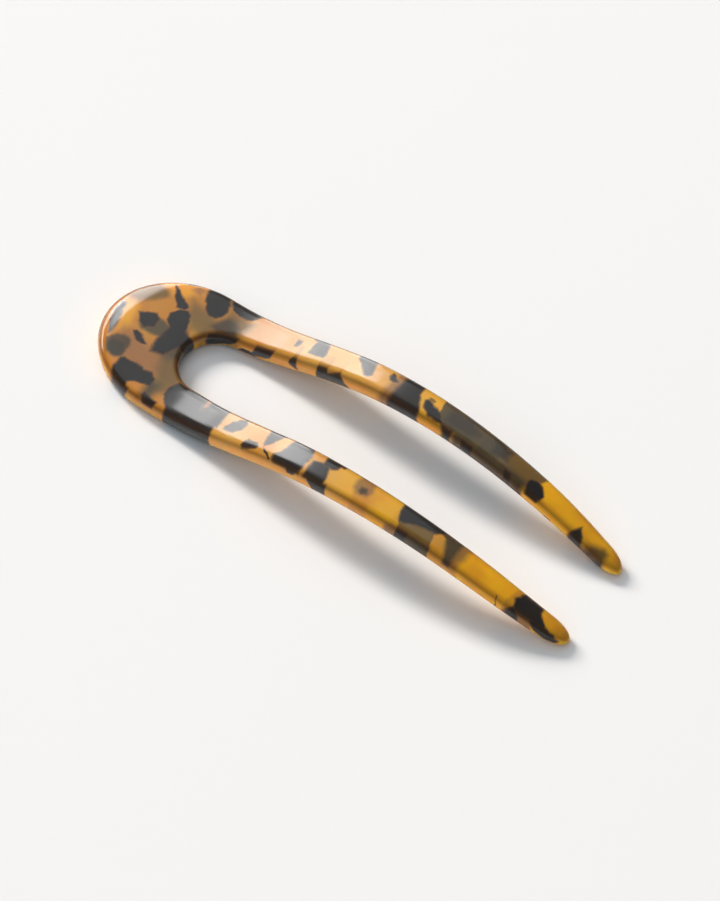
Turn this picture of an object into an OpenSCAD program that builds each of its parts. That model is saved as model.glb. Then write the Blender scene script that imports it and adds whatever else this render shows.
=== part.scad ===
// French hair pin cut from one sheet of cellulose acetate: a broad crown, a round-ended slot
// and two long prongs that arch up and come down again to rounded tips.
// X runs from the crown to the tips, Y across the pin, Z up from the surface it lies on.

/* [Overall] */
// Length from the end of the crown to the tips
pin_l = 133.5; // [110:0.5:160]
// Width across the prongs where they stand widest
spread_w = 36.6; // [33:0.2:44]
// Width across the outsides of the prongs where their tips begin
tips_w = 28.8; // [25:0.2:33]

/* [Crown] */
// Width across the crown
crown_w = 36.4; // [32:0.2:42]
// Length of solid crown from its end to the slot
crown_l = 21.6; // [16:0.2:28]
// Length of the crown's rounded end
crown_round_l = 21.4; // [16:0.2:26]
// Thickness of the crown
crown_t = 4.9; // [3.8:0.1:6]
// Radius that the edges of the crown and of the prongs' roots are polished to
edge_r = 1.8; // [0.8:0.1:1.9]

/* [Slot] */
// Length of the slot's rounded end
slot_round_l = 8.4; // [6:0.2:12]

/* [Prongs] */
// Width of each prong at its root
root_w = 10; // [7.5:0.1:11]
// Width of each prong where its tip begins
tip_w = 5.7; // [4.4:0.1:6.4]
// Thickness of each prong where its tip begins
tip_t = 4.1; // [3:0.1:4.8]
// Length of each prong's rounded tip
tip_round_l = 6; // [3:0.5:9]
// Rise of the prongs' arch above the crown
arch_h = 11; // [4:0.5:16]

/* [Hidden] */

// Shape of a prong at stations between the slot's end and the rounded tip.
// along: share of the way from the slot's end to the rounded tip
// widen: share of the change from the crown's width to the widest spread
// close: share of the change from the widest spread to the width across the tips
// slim: share of the change from the root's width to the tip's width
// thin: share of the change from the crown's thickness to the tip's thickness
// rise: share of the arch's height
STATIONS = [
  // along, widen, close, slim, thin, rise
  [0.000, 0.00, 0.00, 0.00, 0.00, 0.00],
  [0.080, 0.05, 0.00, 0.01, 0.02, 0.03],
  [0.175, 0.40, 0.00, 0.21, 0.08, 0.21],
  [0.285, 1.00, 0.00, 0.35, 0.17, 0.55],
  [0.410, 1.00, 0.02, 0.42, 0.30, 0.88],
  [0.560, 1.00, 0.11, 0.52, 0.47, 1.00],
  [0.705, 1.00, 0.28, 0.63, 0.63, 0.89],
  [0.840, 1.00, 0.49, 0.72, 0.79, 0.61],
  [0.930, 1.00, 0.72, 0.84, 0.91, 0.34],
  [1.000, 1.00, 1.00, 1.00, 1.00, 0.11]
];
ALONG = 0;
WIDEN = 1;
CLOSE = 2;
SLIM = 3;
THIN = 4;
RISE = 5;

// Rings of points along half of the pin: round the crown, along the prong and round the tip
CROWN_RINGS = 20;
PRONG_RINGS = 36;
TIP_RINGS = 7;
// Last angle of the tip's round that has a ring of its own
TIP_LAST_A = 82;
// Steps round each quarter of a polished edge, and across the top and the bottom face
EDGE_STEPS = 4;
FACE_STEPS = 4;
// Share of a section's half size that its edge radius may take
ROUND_LIMIT = 0.98;
// Step along an outline over which its direction is taken
NUDGE = 0.002;

tip_x = pin_l - tip_round_l;
slot_round_x = crown_l + slot_round_l;
half_rings = CROWN_RINGS + PRONG_RINGS + TIP_RINGS;
// A ring runs down the outer side, in across the bottom, up the inner side and out across the top
side_points = 2 * (EDGE_STEPS + 1);
ring_points = 2 * (side_points + FACE_STEPS - 1);

function mix(a, b, share) = a + (b - a) * share;

// Slope of a column of the stations at row i, level at the first row
function row_slope(column, i) =
  i == 0 ? 0 :
  let (last = len(STATIONS) - 1, before = STATIONS[i - 1], after = STATIONS[min(i + 1, last)])
  (after[column] - before[column]) / (after[ALONG] - before[ALONG]);

function row_below(share, i = 0) =
  i >= len(STATIONS) - 2 || STATIONS[i + 1][ALONG] >= share ? i : row_below(share, i + 1);

// Smooth value of a column at a share of the prong's length
function station(column, share) =
  let (
    s = max(0, min(1, share)),
    i = row_below(s),
    from = STATIONS[i],
    to = STATIONS[i + 1],
    step = to[ALONG] - from[ALONG],
    t = (s - from[ALONG]) / step
  )
  from[column] * (1 + 2 * t) * pow(1 - t, 2)
    + to[column] * (3 - 2 * t) * pow(t, 2)
    + row_slope(column, i) * step * t * pow(1 - t, 2)
    - row_slope(column, i + 1) * step * (1 - t) * pow(t, 2);

function share_at(x) = (x - crown_l) / (tip_x - crown_l);

// Distance from the pin's middle line to the outside of a prong
function outer_y(x) =
  let (wide = mix(crown_w, spread_w, station(WIDEN, share_at(x))))
  mix(wide, tips_w, station(CLOSE, share_at(x))) / 2;

function prong_w(x) = mix(root_w, tip_w, station(SLIM, share_at(x)));
function inner_y(x) = outer_y(x) - prong_w(x);
function thickness(x) = mix(crown_t, tip_t, station(THIN, share_at(x)));

// The tip's line runs straight on past the last station
function end_slope() = arch_h * row_slope(RISE, len(STATIONS) - 1) / (tip_x - crown_l);
function middle_z(x) =
  thickness(x) / 2 + arch_h * station(RISE, share_at(x)) + max(0, x - tip_x) * end_slope();

// Outlines of half the pin: u is 0 to 1 round the crown and to 2 along the prong
function outer_point(u) =
  u < 1 ? [crown_round_l * (1 - cos(90 * u)), crown_w / 2 * sin(90 * u)] :
  let (x = mix(crown_round_l, tip_x, u - 1)) [x, outer_y(x)];

function inner_point(u) =
  u < 1 ? [crown_l + slot_round_l * (1 - cos(90 * u)), inner_y(slot_round_x) * sin(90 * u)] :
  let (x = mix(slot_round_x, tip_x, u - 1)) [x, inner_y(x)];

function unit(v) = v / norm(v);
function outer_normal(u) =
  let (along = unit(outer_point(u + NUDGE) - outer_point(u - NUDGE))) [-along[1], along[0]];
function inner_normal(u) =
  let (along = unit(inner_point(u + NUDGE) - inner_point(u - NUDGE))) [along[1], -along[0]];

// Edge radius: the polished radius at the crown, almost a full round at the tip
function edge_radius(x) =
  let (
    half = min(thickness(x), prong_w(x)) / 2 * ROUND_LIMIT,
    share = station(CLOSE, share_at(x))
  )
  min(half, mix(edge_r, half, share));

// A point of the bent plate: a plan position and a height over the plate's middle surface
function bent(plan, over) =
  let (
    x = plan[0],
    slope = (middle_z(x + NUDGE) - middle_z(x - NUDGE)) / (2 * NUDGE),
    long = norm([1, slope])
  )
  [x - over * slope / long, plan[1], middle_z(x) + over / long];

// Points down one side from the top face to the bottom face, round its two polished edges
function side_arc(p, normal) =
  let (r = edge_radius(p[0]), straight = thickness(p[0]) / 2 - r)
  [for (side = [1, -1], k = [0:EDGE_STEPS])
    let (a = 90 / EDGE_STEPS * (side > 0 ? EDGE_STEPS - k : k))
    bent(p - normal * r * (1 - cos(a)), side * (straight + r * sin(a)))];

// Points across a face between the polished edges of its two sides
function face_row(from, to, side) =
  [for (k = [1:FACE_STEPS - 1])
    let (plan = mix(from, to, k / FACE_STEPS)) bent(plan, side * thickness(plan[0]) / 2)];

function ring(u) =
  let (
    o = outer_point(u),
    i = inner_point(u),
    no = outer_normal(u),
    ni = inner_normal(u),
    face_o = o - no * edge_radius(o[0]),
    face_i = i - ni * edge_radius(i[0]),
    inner_arc = side_arc(i, ni)
  )
  concat(
    side_arc(o, no),
    face_row(face_o, face_i, -1),
    [for (k = [side_points - 1:-1:0]) inner_arc[k]],
    face_row(face_i, face_o, 1)
  );

function ring_place(i) =
  i <= CROWN_RINGS ? i / CROWN_RINGS : 1 + (i - CROWN_RINGS) / PRONG_RINGS;

// Middle of the prong at a distance from the crown's end, which runs straight on through the tip
function core(x) =
  let (
    y = outer_y(tip_x) - tip_w / 2,
    before = tip_x - NUDGE,
    slope = (y - outer_y(before) + prong_w(before) / 2) / NUDGE
  )
  bent([x, y + (x - tip_x) * slope], 0);

// The prong's last ring drawn in round the prong's middle, as far as an angle round the tip
function tip_ring(a) =
  let (middle = core(tip_x), moved = core(tip_x + tip_round_l * sin(a)))
  [for (p = ring(2)) moved + (p - middle) * cos(a)];

tip_rings = [for (k = [1:TIP_RINGS]) tip_ring(TIP_LAST_A * k / TIP_RINGS)];
tip_low = min([for (r = tip_rings, p = r) p[2]]);

// A point let down with its prong, so that the tips touch the surface that the crown lies on
function settled(p) =
  let (share = max(0, min(1, share_at(p[0])))) p - [0, 0, tip_low * pow(share, 2)];

function mirrored(points) = [for (p = points) [p[0], -p[1], p[2]]];

// Each tip's last ring is zipped shut from its outer side to its inner side
function tip_faces(first) =
  let (inner_top = 2 * side_points + FACE_STEPS - 2, low = side_points - 2)
  concat(
    [[first + 1, for (k = [inner_top - 1:ring_points - 1]) first + k, first]],
    [for (k = [1:low - 1])
      [first + k, first + k + 1, first + inner_top - k - 1, first + inner_top - k]],
    [[for (k = [low:inner_top - low]) first + k]]
  );

// Faces turned over, each from the same first corner
function flipped(faces) =
  [for (face = faces) [face[0], for (k = [len(face) - 1:-1:1]) face[k]]];

module hair_pin() {
  half = concat([for (i = [0:CROWN_RINGS + PRONG_RINGS]) ring(ring_place(i))], tip_rings);
  rings = concat([for (i = [half_rings:-1:1]) mirrored(half[i])], half);
  last_ring = len(rings) - 1;
  walls = [for (i = [0:last_ring - 1], k = [0:ring_points - 1])
    let (a = i * ring_points, n = (k + 1) % ring_points)
    [a + k, a + n, a + ring_points + n, a + ring_points + k]];
  color("peru")
    translate([-pin_l / 2, 0, 0])
    polyhedron(
      points = [for (r = rings, p = r) settled(p)],
      faces = concat(walls, flipped(tip_faces(0)), tip_faces(last_ring * ring_points)),
      convexity = 6
    );
}

hair_pin();
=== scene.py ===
import math
import bmesh
import bpy
from mathutils import Matrix, Vector
from mathutils.bvhtree import BVHTree


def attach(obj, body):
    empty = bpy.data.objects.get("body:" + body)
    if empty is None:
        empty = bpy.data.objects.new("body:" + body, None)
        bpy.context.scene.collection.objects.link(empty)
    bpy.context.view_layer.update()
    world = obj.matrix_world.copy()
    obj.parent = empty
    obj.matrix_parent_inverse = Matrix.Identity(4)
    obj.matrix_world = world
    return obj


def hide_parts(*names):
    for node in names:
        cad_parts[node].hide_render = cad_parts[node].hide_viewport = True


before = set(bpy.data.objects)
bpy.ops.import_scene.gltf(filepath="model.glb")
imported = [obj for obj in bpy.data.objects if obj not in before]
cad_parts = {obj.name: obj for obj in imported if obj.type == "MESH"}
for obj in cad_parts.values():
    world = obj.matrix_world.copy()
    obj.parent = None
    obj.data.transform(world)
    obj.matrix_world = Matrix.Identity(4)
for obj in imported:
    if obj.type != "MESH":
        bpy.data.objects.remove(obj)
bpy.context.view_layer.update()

# A french hair pin in tortoiseshell acetate, lying on white paper
mm = 0.001  # the scene is in metres
bpy.context.scene.view_settings.view_transform = "Standard"

# The camera looks down on the pin from the side of the near prong, a little from the tips.
# Places and distances are in metres, angles in degrees, and the lens and its sensor in mm
shot = {
    "target": (0.00255, 0.0019, 0.00245),
    "azimuth": 30.0,
    "elevation": 56.07,
    "roll": 5.82,
    "distance": 0.5412,
    "lens": 95.65,
    "sensor": 36,
    "nearest": 0.01,
    "farthest": 20,
}


# Direction and turn of something that faces the pin from an azimuth and elevation, all in degrees
def facing(azimuth, elevation, roll):
    a = math.radians(azimuth)
    e = math.radians(elevation)
    r = math.radians(roll)
    back = Vector((math.sin(a) * math.cos(e), -math.cos(a) * math.cos(e), math.sin(e)))
    level = Vector((math.cos(a), math.sin(a), 0))
    right = level * math.cos(r) + back.cross(level) * math.sin(r)
    return back, Matrix((right, back.cross(right), back)).transposed().to_4x4()


def placeCamera():
    data = bpy.data.cameras.new("camera")
    data.sensor_width = shot["sensor"]
    data.lens = shot["lens"]
    data.clip_start = shot["nearest"]
    data.clip_end = shot["farthest"]
    camera = bpy.data.objects.new("camera", data)
    bpy.context.collection.objects.link(camera)
    back, turned = facing(shot["azimuth"], shot["elevation"], shot["roll"])
    camera.matrix_world = Matrix.Translation(Vector(shot["target"]) + back * shot["distance"]) @ turned
    bpy.context.scene.camera = camera
    print("camera placed")


# Each softbox faces the pin from an azimuth and elevation; wide and tall are the angles it fills.
# One that shines lights the pin and the floor, and one that mirrors shows as a highlight on the polish
studio = {
    "boxes": {
        "key": {"azimuth": 258, "elevation": 31, "roll": 42, "wide": 9, "tall": 22,
                "brightness": 63, "shines": True, "mirrors": False},
        "fill": {"azimuth": 330, "elevation": 60, "roll": 0, "wide": 100, "tall": 60,
                 "brightness": 0.6, "shines": True, "mirrors": False, "color": (0.72, 0.95, 1.2)},
        "overhead": {"azimuth": 210, "elevation": 57, "roll": 0, "wide": 42, "tall": 34,
                     "brightness": 0.85, "shines": True, "mirrors": True},
        "window": {"azimuth": 225.5, "elevation": 17, "roll": 65.5, "wide": 40, "tall": 26,
                   "brightness": 7.2, "shines": False, "mirrors": True},
        "skylight": {"azimuth": 233, "elevation": 40, "roll": 36.5, "wide": 7, "tall": 13,
                     "brightness": 8.6, "shines": False, "mirrors": True},
        "haze": {"azimuth": 225, "elevation": 47, "roll": 36.5, "wide": 12, "tall": 9,
                 "brightness": 1.2, "shines": False, "mirrors": True},
        "rim": {"azimuth": 256, "elevation": 18, "roll": 0, "wide": 38, "tall": 20,
                "brightness": 7.5, "shines": False, "mirrors": True},
    },
    "boxColor": (1, 1, 1),  # of a box that has no color of its own
    "distance": 8,  # metres from the pin
    "surroundings": 0.25,
    "surroundingsColor": (0.96, 0.98, 1, 1),
}


def lightStudio():
    for name, box in studio["boxes"].items():
        data = bpy.data.lights.new(name, "AREA")
        data.shape = "RECTANGLE"
        data.size = 2 * studio["distance"] * math.tan(math.radians(box["wide"] / 2))
        data.size_y = 2 * studio["distance"] * math.tan(math.radians(box["tall"] / 2))
        # The power grows with the area, so that brightness means the same for a box of any size
        data.energy = box["brightness"] * math.pi * data.size * data.size_y
        data.color = box.get("color", studio["boxColor"])
        lamp = bpy.data.objects.new(name, data)
        lamp.visible_diffuse = box["shines"]
        lamp.visible_glossy = box["mirrors"]
        bpy.context.collection.objects.link(lamp)
        back, turned = facing(box["azimuth"], box["elevation"], box["roll"])
        lamp.matrix_world = Matrix.Translation(back * studio["distance"]) @ turned
    world = bpy.data.worlds.new("studio")
    world.use_nodes = True
    background = world.node_tree.nodes["Background"]
    background.inputs["Color"].default_value = studio["surroundingsColor"]
    background.inputs["Strength"].default_value = studio["surroundings"]
    bpy.context.scene.world = world
    print("studio lit")


# The paint is a little warm, because the fill is a little blue
paper = {
    "reach": 2,  # metres from the middle to each side
    "color": (0.838, 0.788, 0.74, 1),
    "roughness": 0.9,
    "shine": 0.0,
}


def layFloor():
    bm = bmesh.new()
    bmesh.ops.create_grid(bm, x_segments=1, y_segments=1, size=paper["reach"])
    mesh = bpy.data.meshes.new("floor")
    bm.to_mesh(mesh)
    bm.free()
    floor = bpy.data.objects.new("floor", mesh)
    bpy.context.collection.objects.link(floor)
    paint = bpy.data.materials.new("floor paint")
    paint.use_nodes = True
    shader = paint.node_tree.nodes["Principled BSDF"]
    shader.inputs["Base Color"].default_value = paper["color"]
    shader.inputs["Roughness"].default_value = paper["roughness"]
    shader.inputs["Specular IOR Level"].default_value = paper["shine"]
    mesh.materials.append(paint)
    print("floor laid")


# A socket that can be added, subtracted and multiplied like a number
class Wire:
    def __init__(self, recipe, socket):
        self.recipe = recipe
        self.socket = socket

    def __add__(self, other):
        return self.recipe.calc("ADD", self, other)

    def __sub__(self, other):
        return self.recipe.calc("SUBTRACT", self, other)

    def __rsub__(self, other):
        return self.recipe.calc("SUBTRACT", other, self)

    def __mul__(self, other):
        return self.recipe.calc("MULTIPLY", self, other)

    __radd__ = __add__
    __rmul__ = __mul__


# A material under way, with short names for the nodes that it is mixed from
class Recipe:
    def __init__(self, name):
        self.material = bpy.data.materials.new(name)
        self.material.use_nodes = True
        self.tree = self.material.node_tree
        self.shader = self.tree.nodes["Principled BSDF"]

    # Gives a socket a link or a plain value
    def feed(self, socket, value):
        if isinstance(value, Wire):
            self.tree.links.new(value.socket, socket)
        else:
            socket.default_value = value

    # Adds a node, sets it up, and then feeds its sockets
    def node(self, kind, settings, inputs, output=0):
        node = self.tree.nodes.new("ShaderNode" + kind)
        for name, value in settings.items():
            setattr(node, name, value)
        for name, value in inputs.items():
            self.feed(node.inputs[name], value)
        return Wire(self, node.outputs[output])

    def calc(self, operation, *values):
        return self.node("Math", {"operation": operation}, dict(enumerate(values)))

    def vector(self, operation, *values):
        output = "Value" if operation == "DOT_PRODUCT" else "Vector"
        return self.node("VectorMath", {"operation": operation}, dict(enumerate(values)), output)

    # Sockets 6 and 7 of a Mix node take its two colors, and its output 2 is the mixed one
    def mix(self, share, start, end):
        return self.node("Mix", {"data_type": "RGBA"}, {0: share, 6: start, 7: end}, 2)

    def noise(self, place, size, detail, output):
        inputs = {"Vector": place, "Scale": 1 / size, "Detail": detail}
        return self.node("TexNoise", {}, inputs, output)

    # 0 at the low value and 1 at the high one, with a smooth start and end
    def ramp(self, value, low, high):
        inputs = {"Value": value, "From Min": low, "From Max": high}
        return self.node("MapRange", {"interpolation_type": "SMOOTHSTEP"}, inputs)

    def attribute(self, name):
        return self.node("Attribute", {"attribute_name": name}, {}, "Fac")

    def axis(self, place, number):
        return self.node("SeparateXYZ", {}, {0: place}, number)


# Flakes in the acetate, in mm along and across the pin, as outlines without hollows.
# soft is the width of the blurred border; deep is how far under the top face a flake reaches.
# A flake with a wall is outlined in mm along the pin and down its side instead, and shows between
# two places across the pin
nearWall = (-22, -13)
farWall = (5, 14)
flakes = [
    # Crown
    {"shade": "gold", "soft": 2.5,
     "outline": [(-61, 11.5), (-58, 14.5), (-54, 16.5), (-51.5, 17), (-51, 14.5), (-54.5, 10.8),
                 (-58, 10.3)]},
    {"shade": "gold", "soft": 2.5,
     "outline": [(-64.3, 3), (-60.8, 3), (-59.2, -3.5), (-60.6, -6), (-62.8, -3)]},
    {"shade": "gold", "soft": 2, "outline": [(-48.5, 6), (-45.5, 6.5), (-44, 4.5), (-46.5, 3.8)]},
    {"shade": "mauve", "soft": 4, "outline": [(-60, -4), (-46, -5), (-42, -10), (-50, -12), (-59, -11)]},
    {"shade": "mauve", "soft": 1.6, "outline": [(-54, 14), (-51.5, 13.6), (-51, 16), (-53.4, 15.8)]},
    {"shade": "olive", "soft": 1.8,
     "outline": [(-65.2, 3.2), (-63.5, 8.5), (-60.8, 11), (-58, 10.5), (-57, 9), (-59, 6.3), (-62, 4)]},
    {"shade": "olive", "soft": 3.5,
     "outline": [(-52, 12), (-45, 11), (-41, 9), (-44, 4), (-48, 4), (-51, 8)]},
    {"shade": "olive", "soft": 3.5, "outline": [(-48.5, -4.5), (-41, -4.5), (-38.5, -13), (-44, -15)]},
    {"shade": "olive", "soft": 3, "outline": [(-43, 8), (-37, 8), (-36, 14), (-43, 15)]},
    {"shade": "olive", "soft": 1.5, "outline": [(-46.5, 18), (-45.5, 15), (-43, 15), (-43.5, 18)]},
    {"shade": "black", "soft": 0.85,
     "outline": [(-65, 1.8), (-63.9, 1.8), (-62.3, -3), (-61.5, -6.2), (-61.9, -7.6), (-63.4, -5.4),
                 (-64.9, -1.5)]},
    {"shade": "black", "soft": 0.85,
     "outline": [(-56.3, 14.7), (-55, 14.8), (-53.4, 16.2), (-54.2, 16.5), (-56, 15.6)]},
    {"shade": "black", "soft": 0.7,
     "outline": [(-57.9, 13), (-51.5, 9.4), (-51.9, 8.2), (-53.6, 7.7), (-55.8, 9.8)]},
    {"shade": "black", "soft": 0.85,
     "outline": [(-59.9, 1.4), (-58.2, 2.6), (-56.2, 3.5), (-54.8, 2.6), (-54.6, 0), (-56.4, -1.4),
                 (-58, -0.8)]},
    {"shade": "bark", "soft": 1.3,
     "outline": [(-57, 3), (-53, 2.8), (-50.5, 2), (-50.5, -1.3), (-53.5, -2), (-56.8, -2.1),
                 (-58.4, -0.9)]},
    {"shade": "black", "soft": 0.7,
     "outline": [(-57.7, -3.8), (-57.2, -3.1), (-56.4, -3), (-52.8, -4.9), (-53.8, -5.4), (-55.2, -5.6),
                 (-56.6, -4.8)]},
    {"shade": "black", "soft": 0.7,
     "outline": [(-54, 5.3), (-52.7, 7.8), (-50.8, 8.6), (-49.8, 8), (-48.3, 4.8), (-47.6, 2), (-51, 1.5),
                 (-53.2, 3.4)]},
    {"shade": "black", "soft": 1.3,
     "outline": [(-51.6, 2.6), (-48.5, 4), (-46.4, 2.6), (-46.2, -1.2), (-48, -5.2), (-51, -5.9),
                 (-51.9, -3)]},
    {"shade": "black", "soft": 0.8,
     "outline": [(-48, 2.6), (-45.5, 2.6), (-43.5, 2), (-43.5, -1.2), (-48, -1.2)]},
    {"shade": "bark", "soft": 3,
     "outline": [(-48.5, -0.5), (-42.6, -0.5), (-42.6, -3.6), (-46, -5.6), (-49, -5.4)]},
    {"shade": "bark", "soft": 1.6,
     "outline": [(-60.6, -10), (-60, -8.5), (-57, -8), (-55.7, -9.5), (-55.6, -11.4), (-57, -12.2),
                 (-59, -11.8)]},
    {"shade": "dusk", "soft": 1.1,
     "outline": [(-61.6, -9), (-60.2, -6.6), (-58.6, -5.8), (-56.4, -6.1), (-55.5, -8), (-55.5, -11.3),
                 (-57, -12.3), (-59.4, -11.8)]},
    {"shade": "black", "soft": 0.85,
     "outline": [(-55.2, -11.4), (-54.7, -10.9), (-49.6, -10.5), (-48.5, -11.5), (-48.5, -14.8),
                 (-50.3, -16.2), (-53.5, -17), (-54.5, -16.2), (-55.3, -14.6)]},
    {"shade": "black", "soft": 0.85,
     "outline": [(-54.8, -15.5), (-50.3, -15.5), (-49, -18.8), (-52, -18.8)]},
    {"shade": "black", "soft": 0.85,
     "outline": [(-50, -11.4), (-46.9, -10.5), (-45.2, -11.8), (-45, -13.9), (-49.8, -15.3)]},
    {"shade": "bark", "soft": 2.8, "outline": [(-46.4, -12), (-43.2, -12), (-42.6, -17), (-45.6, -17)]},
    {"shade": "black", "soft": 0.6, "wall": nearWall,
     "outline": [(-53.5, -0.5), (-48.6, -0.5), (-49, 2), (-50.5, 3.2), (-53, 2.6)]},
    {"shade": "black", "soft": 0.85, "deep": 1.2,
     "outline": [(-45, -15.8), (-41, -16.6), (-41.2, -18.5), (-42.5, -18.8), (-44.2, -18.3), (-45, -17)]},
    {"shade": "black", "soft": 0.85,
     "outline": [(-51, 18.5), (-50.6, 15.4), (-49.6, 13.4), (-48, 11.2), (-46.4, 10.3), (-44.8, 10.5),
                 (-43.7, 11.7), (-43.4, 13.4), (-44, 15.4), (-45.8, 18.5)]},
    {"shade": "black", "soft": 0.7,
     "outline": [(-44.4, 18.5), (-44, 16.3), (-42.6, 15), (-40.2, 14.3), (-38.4, 14.4), (-37, 15.3),
                 (-35, 18.5)]},
    {"shade": "dusk", "soft": 1.8,
     "outline": [(-44.3, 8), (-43.3, 11), (-42, 12.5), (-39.8, 12.5), (-38.2, 11.2), (-37.8, 9),
                 (-41.5, 7.6)]},
    # Near prong
    {"shade": "black", "soft": 0.85,
     "outline": [(-40.2, -9), (-41.1, -11.6), (-41.1, -13.7), (-40, -15.2), (-38.4, -16.8), (-31.6, -16.8),
                 (-31.6, -9)]},
    {"shade": "black", "soft": 1, "outline": [(-33.8, -12.9), (-33.8, -17), (-25.6, -17), (-24.9, -12.9)]},
    {"shade": "black", "soft": 1, "outline": [(-30.4, -9), (-30.4, -15.5), (-24.9, -15.5), (-25.1, -9)]},
    {"shade": "smoke", "soft": 1, "outline": [(-33, -9), (-29, -9), (-29, -14), (-33, -14)]},
    {"shade": "dusk", "soft": 1, "outline": [(-33, -12), (-29, -12), (-29, -14), (-33, -14)]},
    {"shade": "black", "soft": 0.8,
     "outline": [(-38.8, -15.8), (-37.4, -20.5), (-24.6, -20.5), (-25.5, -15.8)]},
    {"shade": "black", "soft": 0.85,
     "outline": [(-19.6, -10.3), (-19.1, -12), (-19.4, -13.5), (-20.7, -15.2), (-23.2, -15.3),
                 (-23.4, -14.4), (-22.6, -12.5), (-21.3, -11.1)]},
    {"shade": "black", "soft": 0.7,
     "outline": [(-16.2, -15.1), (-13.9, -15.3), (-13.2, -15.9), (-13.5, -16.8), (-15, -17.5),
                 (-16.3, -17.7), (-17, -17.3), (-16.7, -16.1)]},
    {"shade": "black", "soft": 0.3,
     "outline": [(-11.7, -15.8), (-10.8, -16.1), (-8.8, -17.6), (-9.1, -17.8), (-11.1, -16.7)]},
    {"shade": "black", "soft": 0.85,
     "outline": [(-13.1, -10), (-13, -12.4), (-12.4, -14.4), (-11.9, -15.2), (-11.1, -14.4), (-8.6, -10)]},
    {"shade": "black", "soft": 0.85, "deep": 0.9,
     "outline": [(-6.5, -10), (-7.6, -14.9), (-7.6, -16.5), (-1, -16.5), (-0.8, -13), (-1.6, -10)]},
    {"shade": "black", "soft": 0.85, "deep": 0.9,
     "outline": [(-7.6, -14.8), (-8.7, -16.2), (-8.8, -17), (-8.2, -17.8), (-6.5, -18.5), (-4.8, -18.7),
                 (-1.1, -18.4), (-0.9, -14.8)]},
    {"shade": "black", "soft": 0.6, "wall": nearWall,
     "outline": [(-8, -0.6), (-6.8, 0.4), (-4.6, 0.9), (-1.2, 0.6), (-0.9, -0.6)]},
    {"shade": "black", "soft": 0.6, "wall": nearWall,
     "outline": [(-5, -0.1), (-3.7, 1.7), (-2.2, 1.7), (-0.9, -0.1)]},
    {"shade": "black", "soft": 0.85, "deep": 0.9,
     "outline": [(0, -13.4), (2.2, -12.8), (4.1, -13.1), (4.7, -15), (5.3, -17.2), (5.6, -19.5),
                 (0, -19.5)]},
    {"shade": "black", "soft": 0.6, "wall": nearWall,
     "outline": [(0, -0.6), (3.7, 4), (6.2, 4), (6.1, -0.6)]},
    {"shade": "black", "soft": 0.85,
     "outline": [(2.1, -10), (2.4, -13.3), (4.7, -13.3), (5.9, -12.6), (5.9, -10)]},
    {"shade": "black", "soft": 0.85, "outline": [(5, -11.9), (6.9, -11.6), (7.8, -10), (5, -10)]},
    {"shade": "smoke", "soft": 1.4,
     "outline": [(10.9, -12.6), (11.5, -10.5), (15, -10.5), (15.6, -13), (15, -15), (12.4, -15.5),
                 (11.2, -14.3)]},
    {"shade": "rust", "soft": 1.6, "outline": [(12, -15), (16, -15), (16.8, -19), (12.6, -19)]},
    {"shade": "dusk", "soft": 1,
     "outline": [(12.6, -13.2), (14.1, -13), (14.5, -14.2), (13.4, -14.8), (12.6, -14.4)]},
    {"shade": "black", "soft": 0.85,
     "outline": [(22.5, -9.8), (22.7, -12.7), (23.2, -14.4), (23.9, -15.3), (25, -14.9), (27.5, -13.6),
                 (30, -9.8)]},
    {"shade": "black", "soft": 0.85,
     "outline": [(25, -9.8), (25, -14), (27.8, -13.5), (31.5, -12.7), (33, -11.6), (34, -9.8)]},
    {"shade": "bark", "soft": 0.8,
     "outline": [(32, -9.8), (32, -11.5), (34, -12), (36.5, -12), (37.5, -9.8)]},
    {"shade": "brown", "soft": 0.5,
     "outline": [(24.5, -18.9), (32.7, -18.9), (32.4, -16.6), (31.5, -12.6), (27.5, -13.4), (24, -15.2)]},
    {"shade": "rust", "soft": 0.8,
     "outline": [(31, -12), (33.5, -11.5), (36.8, -17.2), (36, -19), (32.4, -19)]},
    {"shade": "bark", "soft": 1.3, "deep": 1.2,
     "outline": [(34.1, -11.9), (36.8, -17.6), (37.8, -17.4), (38, -9.8), (34.5, -9.8)]},
    {"shade": "smoke", "soft": 2.2, "deep": 1.6,
     "outline": [(34.5, -9.8), (34.3, -12), (36.9, -17.6), (38.8, -17.2), (39.9, -14), (40.2, -9.8)]},
    {"shade": "rust", "soft": 1.4, "wall": nearWall,
     "outline": [(32.6, 0), (39.5, 0), (40.5, 4), (32.6, 4)]},
    {"shade": "black", "soft": 0.6, "wall": nearWall,
     "outline": [(24.4, -0.6), (24.3, 4), (27, 4), (27, -0.6)]},
    {"shade": "bark", "soft": 0.6, "wall": nearWall,
     "outline": [(26.5, -0.6), (26.5, 4), (32.8, 4), (32.5, -0.6)]},
    {"shade": "smoke", "soft": 1.5, "wall": nearWall,
     "outline": [(21.5, 0.8), (24.5, -0.2), (24.5, 4), (21.5, 4)]},
    {"shade": "brown", "soft": 0.8, "wall": nearWall,
     "outline": [(36.4, 0), (38.2, 0), (38, 1.2), (36.6, 1.2)]},
    {"shade": "brown", "soft": 0.2,
     "outline": [(49.6, -14.6), (49.9, -14.6), (50.35, -16.7), (50, -16.7)]},
    {"shade": "black", "soft": 0.85, "deep": 0.8,
     "outline": [(53, -12.4), (54.3, -9.6), (55, -9), (58.9, -9), (59.1, -11.2), (58.6, -15.4),
                 (55, -15.4), (53.6, -14.2)]},
    {"shade": "black", "soft": 0.7, "deep": 0.8,
     "outline": [(58, -10.4), (61.6, -13), (63.8, -15), (58, -15.4)]},
    {"shade": "black", "soft": 0.85, "deep": 0.8,
     "outline": [(61, -13), (65.7, -13.4), (65.6, -14.2), (63.7, -15.1), (61, -15.4)]},
    {"shade": "black", "soft": 0.85,
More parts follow.
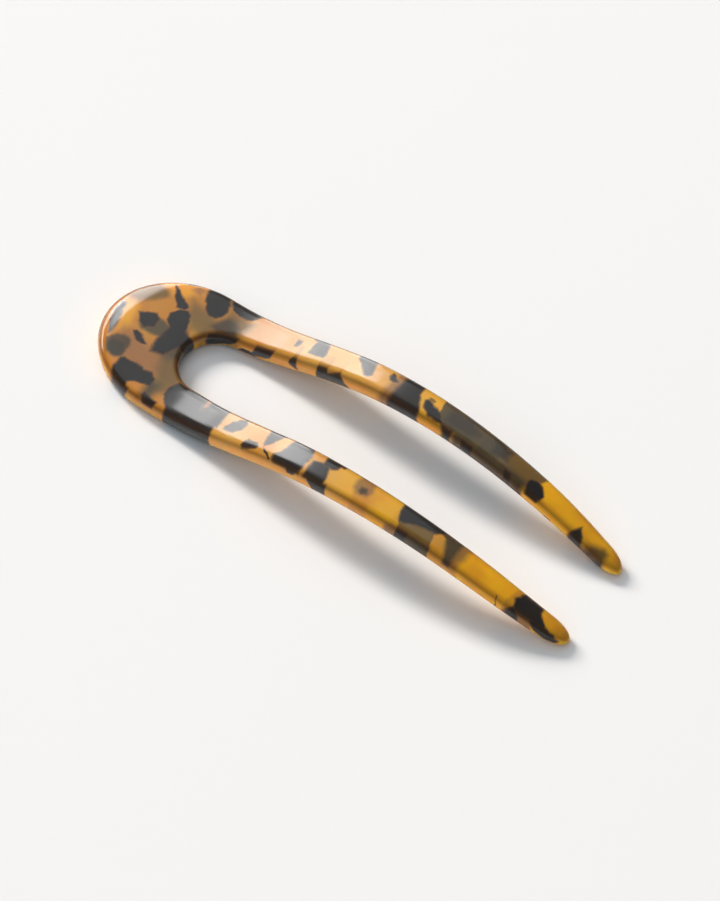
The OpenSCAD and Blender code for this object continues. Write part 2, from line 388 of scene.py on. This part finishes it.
     "outline": [(52.1, -15.8), (53.8, -14), (55.4, -15), (55.3, -16.5), (53.9, -16.9), (52.6, -16.3)]},
    {"shade": "rust", "soft": 0.8,
     "outline": [(51.4, -16), (52.6, -10), (54.5, -10), (54.5, -16), (53, -17.5)]},
    {"shade": "smoke", "soft": 0.8, "wall": nearWall,
     "outline": [(54, -0.3), (58.2, -0.3), (59.2, 4), (54.4, 4)]},
    {"shade": "black", "soft": 0.6, "wall": nearWall,
     "outline": [(56.8, -0.6), (57.6, 0.6), (59.5, 2), (62, 2.5), (64.5, 2.2), (65.8, 1), (65.8, -0.6)]},
    # Far prong
    {"shade": "black", "soft": 0.85,
     "outline": [(-24.5, 14.6), (-24.3, 15.4), (-23.3, 15.4), (-23.1, 14.4), (-23.4, 13.3),
                 (-24.1, 13.4)]},
    {"shade": "black", "soft": 0.7,
     "outline": [(-19.8, 18), (-17, 18), (-15.7, 13.8), (-15.9, 12.9), (-20.2, 12.9), (-20.2, 14)]},
    {"shade": "black", "soft": 0.7,
     "outline": [(-21.1, 18), (-21.1, 17), (-19.7, 16.4), (-19, 16.4), (-19, 18)]},
    {"shade": "black", "soft": 0.85,
     "outline": [(-8.6, 18), (-8.4, 16.4), (-5.6, 13.5), (-4.7, 12.8), (-3.5, 12.8), (-3.1, 13.5),
                 (-3.4, 15), (-4.2, 18)]},
    {"shade": "black", "soft": 0.85,
     "outline": [(0.9, 16.5), (0.5, 15.2), (1.2, 14.6), (2.1, 14.4), (3, 15), (1.5, 16.3)]},
    {"shade": "smoke", "soft": 2, "outline": [(2.4, 18), (1.2, 10), (1.2, 7), (5, 7), (5, 18)]},
    {"shade": "black", "soft": 1.4,
     "outline": [(4.3, 18), (3.5, 11), (3.5, 7), (9.4, 7), (9.4, 10), (8.4, 18)]},
    {"shade": "black", "soft": 0.85, "outline": [(7, 18), (7, 7), (9.3, 7), (9.3, 14), (8.9, 18)]},
    {"shade": "black", "soft": 0.85,
     "outline": [(7, 16), (9.1, 15), (11.2, 11.2), (11.5, 10), (12.2, 7), (7, 7)]},
    {"shade": "black", "soft": 0.85,
     "outline": [(10.6, 14.2), (11.3, 14.9), (12.6, 14.6), (15.5, 13.4), (17.5, 11.1), (13.4, 11.2),
                 (11.6, 12.4)]},
    {"shade": "brown", "soft": 0.5,
     "outline": [(11.2, 15.5), (12.2, 15.7), (13.2, 15.4), (13, 14.8), (11.6, 14.8)]},
    {"shade": "black", "soft": 0.85,
     "outline": [(16.5, 11.3), (20.4, 11.3), (20.4, 10), (19.8, 9.6), (18.6, 9.9)]},
    {"shade": "umber", "soft": 0.8,
     "outline": [(27, 18), (27, 11), (40.4, 10.6), (42.4, 13.4), (43.3, 15.5), (43.6, 18)]},
    {"shade": "bark", "soft": 0.6,
     "outline": [(14.6, 18), (14.9, 15.2), (15.6, 11.3), (29, 10.8), (29, 18)]},
    {"shade": "bark", "soft": 5, "outline": [(24, 20), (24, 7), (33, 7), (33, 20)]},
    {"shade": "bark", "soft": 2, "outline": [(19.5, 12), (22.5, 7), (39.9, 7), (39.9, 12)]},
    {"shade": "dusk", "soft": 3, "outline": [(17, 16), (23, 16.5), (26, 14), (24, 12), (17, 12)]},
    {"shade": "dusk", "soft": 2, "outline": [(29, 15.8), (33.7, 15.6), (33.6, 12.8), (30, 12.4)]},
    {"shade": "black", "soft": 0.8,
     "outline": [(23, 10.9), (23.3, 9.6), (24.5, 8.5), (26.2, 8.5), (25.9, 10.9)]},
    {"shade": "black", "soft": 0.8, "outline": [(34.4, 11.1), (35, 9.7), (36.6, 9.7), (36.2, 11.1)]},
    {"shade": "black", "soft": 0.8, "outline": [(28.5, 9.7), (39.8, 9.7), (39.8, 6.5), (28.5, 6.5)]},
    {"shade": "black", "soft": 0.7, "deep": 1.3,
     "outline": [(40.2, 12.6), (40.7, 13.2), (41.8, 13.5), (43, 13.3), (44.1, 12.6), (44.6, 11.6),
                 (44.5, 10.6), (43.8, 9.7), (42.9, 9.1), (41.8, 8.9), (40.9, 9.4), (40.3, 10.4),
                 (40.1, 11.5)]},
    {"shade": "black", "soft": 0.6, "wall": farWall,
     "outline": [(46.3, 2.6), (48, 2.4), (48, 3.6), (46.3, 3.6)]},
    {"shade": "black", "soft": 0.85,
     "outline": [(52.2, 7.8), (54.9, 11.9), (57.3, 8.6), (57.3, 6.3), (52.4, 6.3)]},
    {"shade": "black", "soft": 0.9, "outline": [(56, 8.9), (62.4, 8.9), (62.9, 6), (56, 6)]},
    {"shade": "brown", "soft": 2,
     "outline": [(56, 7), (57, 9), (60, 11), (61.8, 11.6), (62.8, 11), (63, 7)]},
    {"shade": "black", "soft": 0.6, "wall": farWall,
     "outline": [(-43.3, -0.5), (-36.2, -0.5), (-37, 1.3), (-39, 2.8), (-42, 3.6), (-43.3, 3.4)]},
    {"shade": "black", "soft": 0.6, "wall": farWall,
     "outline": [(-36.6, 3.6), (-35.3, 2.1), (-33.5, 2.1), (-31, 3.6)]},
    {"shade": "black", "soft": 0.6, "wall": farWall,
     "outline": [(-32.2, 0.7), (-31.6, -0.5), (-27.6, -0.5), (-27.4, 0.8), (-27.9, 2), (-28.8, 2.8),
                 (-31, 3.1), (-33.4, 3.1)]},
    {"shade": "black", "soft": 0.6, "wall": farWall,
     "outline": [(-22.8, 0.7), (-21.9, -0.1), (-21.3, 0.7), (-20.4, 3.4), (-21.4, 3.1), (-23.1, 1.6)]},
    {"shade": "black", "soft": 0.6, "wall": farWall,
     "outline": [(-15.7, -0.5), (-14, -0.5), (-12.4, 1.2), (-12, 3.6), (-15.6, 3.6)]},
    {"shade": "black", "soft": 0.6, "wall": farWall,
     "outline": [(-13.2, 1.3), (-11.5, 0.8), (-9.8, 0.3), (-8.8, 1.2), (-6.4, 3.6), (-13.2, 3.6)]},
    {"shade": "black", "soft": 0.6, "wall": farWall,
     "outline": [(17.2, -0.4), (19.9, -0.4), (19.7, 0.9), (18.8, 1.3), (17.8, 0.6)]},
]
# Colors of the shades, each laid over the ones before it, and how fully it covers them
shades = {
    "gold": ((0.72, 0.335, 0.02, 1), 0.8),
    "mauve": ((0.27, 0.12, 0.045, 1), 0.8),
    "olive": ((0.13, 0.082, 0.024, 1), 0.8),
    "smoke": ((0.24, 0.11, 0.035, 1), 0.85),
    "rust": ((0.45, 0.18, 0.02, 1), 0.5),
    "brown": ((0.125, 0.07, 0.017, 1), 0.9),
    "umber": ((0.17, 0.095, 0.028, 1), 0.95),
    "bark": ((0.080, 0.058, 0.025, 1), 0.97),
    "dusk": ((0.040, 0.030, 0.018, 1), 0.85),
    "black": ((0.012, 0.011, 0.010, 1), 1),
}
# Lengths are in mm, and a pair is where something starts and where it is full
acetate = {
    "crown": (0.48, 0.20, 0.022, 1),
    "middle": (0.60, 0.315, 0.055, 1),
    "arch": (0.68, 0.36, 0.008, 1),
    "tips": (0.90, 0.48, 0.007, 1),
    "crownToMiddle": (-45, -15),
    "middleToArch": (-2, 20),
    "archToTips": (22, 46),
    # Reddish drifts in the amber
    "cloud": {"color": (0.52, 0.19, 0.012, 1), "strength": 0.5,
              "size": 9, "detail": 2, "noise": (0.45, 0.75)},
    # Painted glow: golden tint down the sides, standing in for the light that comes through the amber
    "side": {"color": (0.90, 0.45, 0.005, 1), "strength": 0.5, "depth": (0.8, 2)},
    # Painted dark reflection: a dark line where the top face rounds off, standing in for the dark
    # surroundings mirrored there
    "edge": {"color": (0.05, 0.018, 0.002, 1), "strength": 0.65},
    # Reddish border round the black flakes
    "halo": {"color": (0.22, 0.07, 0.02, 1), "strength": 0.45, "cover": (0, 0.5)},
    # How the borders of the flakes wander, coarse and fine
    "wobbles": [{"size": 1.6, "detail": 1, "reach": 0.7}, {"size": 0.5, "detail": 1, "reach": 0.2}],
    "wallDepth": 0.35,  # under the top face, where the flakes of a wall start
    "roughness": 0.11,
    "wear": {"size": 4, "detail": 2, "roughness": 0.05},
    "ior": 1.49,
    "glow": {"share": 1, "color": (1, 0.45, 0.12), "reach": 6},  # of the light that spreads inside
    # Polishing has let the crown's top fall off gently towards its end, along a curve across the pin
    "fall": {"height": 1.3, "strength": 1, "along": (-61.5, -69.5), "curve": 0.02, "across": -2},
}
noiseMiddle = (0.5, 0.5, 0.5)


# Cover of a flake: 1 inside its outline and 0 outside, from the straight line along each of its edges
def flakeCover(recipe, flake, planPlace, wallPlace, depth, across):
    outline = flake["outline"]
    place = wallPlace if "wall" in flake else planPlace
    edges = list(zip(outline, outline[1:] + outline[:1]))
    turn = sum(a[0] * b[1] - b[0] * a[1] for a, b in edges)
    outside = None
    for a, b in edges:
        along = Vector((b[0] - a[0], b[1] - a[1])).normalized()
        outwards = Vector((along.y, -along.x)) * math.copysign(1, turn)
        # How far a place lies outside the edge's line; the place's last number is 1, for the offset
        reach = recipe.vector("DOT_PRODUCT", place, (outwards.x, outwards.y, -outwards.dot(Vector(a))))
        outside = reach if outside is None else recipe.calc("MAXIMUM", outside, reach)
    if "wall" in flake:
        low, high = flake["wall"]
        outside = recipe.calc("MAXIMUM", outside, low - across)
        outside = recipe.calc("MAXIMUM", outside, across - high)
        outside = recipe.calc("MAXIMUM", outside, acetate["wallDepth"] - depth)
    if "deep" in flake:
        outside = recipe.calc("MAXIMUM", outside, depth - flake["deep"])
    return recipe.ramp(outside, flake["soft"] / 2, -flake["soft"] / 2)


# The amber between the flakes
def amber(recipe, place, along, depth):
    cloud = acetate["cloud"]
    side = acetate["side"]
    color = recipe.mix(recipe.ramp(along, *acetate["crownToMiddle"]), acetate["crown"], acetate["middle"])
    color = recipe.mix(recipe.ramp(along, *acetate["middleToArch"]), color, acetate["arch"])
    color = recipe.mix(recipe.ramp(along, *acetate["archToTips"]), color, acetate["tips"])
    clouds = recipe.ramp(recipe.noise(place, cloud["size"], cloud["detail"], "Fac"), *cloud["noise"])
    color = recipe.mix(clouds * cloud["strength"], color, cloud["color"])
    # Painted glow: the sides are tinted golden below the top face
    return recipe.mix(recipe.ramp(depth, *side["depth"]) * side["strength"], color, side["color"])


# Adds the flakes, shade by shade, with a reddish border round the black ones
def flaked(recipe, color, warped, depth):
    halo = acetate["halo"]
    along = recipe.axis(warped, 0)
    across = recipe.axis(warped, 1)
    planPlace = recipe.node("CombineXYZ", {}, {0: along, 1: across, 2: 1})
    wallPlace = recipe.node("CombineXYZ", {}, {0: along, 1: depth, 2: 1})
    for shade, (tint, strength) in shades.items():
        cover = None
        for flake in [f for f in flakes if f["shade"] == shade]:
            one = flakeCover(recipe, flake, planPlace, wallPlace, depth, across)
            cover = one if cover is None else recipe.calc("MAXIMUM", cover, one)
        if shade == "black":
            border = recipe.ramp(cover, *halo["cover"]) * halo["strength"]
            color = recipe.mix(border, color, halo["color"])
        color = recipe.mix(cover * strength, color, tint)
    return color


# Bump that lets the crown's top fall off towards its end; it is inverted, as its height counts down
def crownFall(recipe, place):
    fall = acetate["fall"]
    sideways = recipe.axis(place, 1) - fall["across"]
    endwards = recipe.axis(place, 0) - fall["curve"] * (sideways * sideways)
    height = recipe.ramp(endwards, *fall["along"])
    inputs = {"Strength": fall["strength"], "Distance": fall["height"] * mm, "Height": height}
    return recipe.node("Bump", {"invert": True}, inputs)


def tortoiseshell():
    recipe = Recipe("tortoiseshell acetate")
    edge = acetate["edge"]
    wear = acetate["wear"]
    glow = acetate["glow"]
    local = recipe.node("TexCoord", {}, {}, "Object")
    place = recipe.node("VectorMath", {"operation": "SCALE"}, {0: local, "Scale": 1 / mm})
    depth = recipe.attribute("depth")
    warped = place
    for wobble in acetate["wobbles"]:
        noise = recipe.noise(place, wobble["size"], wobble["detail"], "Color")
        swing = recipe.vector("SUBTRACT", noise, noiseMiddle)
        warped = recipe.vector("MULTIPLY_ADD", swing, (wobble["reach"],) * 3, warped)
    color = amber(recipe, place, recipe.axis(warped, 0), depth)
    color = flaked(recipe, color, warped, depth)
    # Painted dark reflection along the rounded edge of the top face
    color = recipe.mix(recipe.attribute("edge") * edge["strength"], color, edge["color"])
    worn = recipe.noise(place, wear["size"], wear["detail"], "Fac")
    roughness = acetate["roughness"] + wear["roughness"] * worn
    recipe.feed(recipe.shader.inputs["Base Color"], color)
    recipe.feed(recipe.shader.inputs["Roughness"], roughness)
    recipe.feed(recipe.shader.inputs["Normal"], crownFall(recipe, place))
    recipe.shader.inputs["IOR"].default_value = acetate["ior"]
    recipe.shader.inputs["Subsurface Weight"].default_value = glow["share"]
    recipe.shader.inputs["Subsurface Radius"].default_value = glow["color"]
    recipe.shader.inputs["Subsurface Scale"].default_value = glow["reach"] * mm
    print("acetate mixed from", len(recipe.tree.nodes), "nodes")
    return recipe.material


# Lengths in mm, angles in degrees
pinMesh = {
    "weld": 0.001,
    "planar": 60,  # triangles that meet within this angle become one quad
    "skew": 120,  # however far the quad is from a square
    "polish": 2,  # steps of subdivision that round off the facets
    "inwards": 2,  # how far inside its own edge a vertex looks for the top face
    "above": 50,  # how far over itself it looks down from
}


# How far each vertex lies under the top face, in mm, and how near it is to the middle of the top face's
# rounded edge, where a dark reflection is painted
def addPlaces(bm):
    depth = bm.verts.layers.float.new("depth")
    edge = bm.verts.layers.float.new("edge")
    tree = BVHTree.FromBMesh(bm)
    for vert in bm.verts:
        inwards = Vector((vert.normal.x, vert.normal.y, 0)) * pinMesh["inwards"] * mm
        above = vert.co - inwards + Vector((0, 0, pinMesh["above"] * mm))
        hit = tree.ray_cast(above, Vector((0, 0, -1)))[0]
        vert[depth] = max(0, hit.z - vert.co.z) / mm if hit else 0
        vert[edge] = 1 - abs(2 * max(0, vert.normal.z) ** 2 - 1)


def makePin():
    bm = bmesh.new()
    bm.from_mesh(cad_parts["hair_pin"].data)
    bmesh.ops.remove_doubles(bm, verts=bm.verts, dist=pinMesh["weld"] * mm)
    planar = math.radians(pinMesh["planar"])
    skew = math.radians(pinMesh["skew"])
    bmesh.ops.join_triangles(bm, faces=bm.faces, angle_face_threshold=planar, angle_shape_threshold=skew)
    bm.normal_update()
    addPlaces(bm)
    for face in bm.faces:
        face.smooth = True
    mesh = bpy.data.meshes.new("acetate_pin")
    bm.to_mesh(mesh)
    bm.free()
    pin = bpy.data.objects.new("acetate_pin", mesh)
    bpy.context.collection.objects.link(pin)
    smooth = pin.modifiers.new("polish", "SUBSURF")
    smooth.levels = pinMesh["polish"]
    smooth.render_levels = pinMesh["polish"]
    mesh.materials.append(tortoiseshell())
    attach(pin, "root")
    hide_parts("hair_pin")
    print("pin made")


placeCamera()
lightStudio()
layFloor()
makePin()
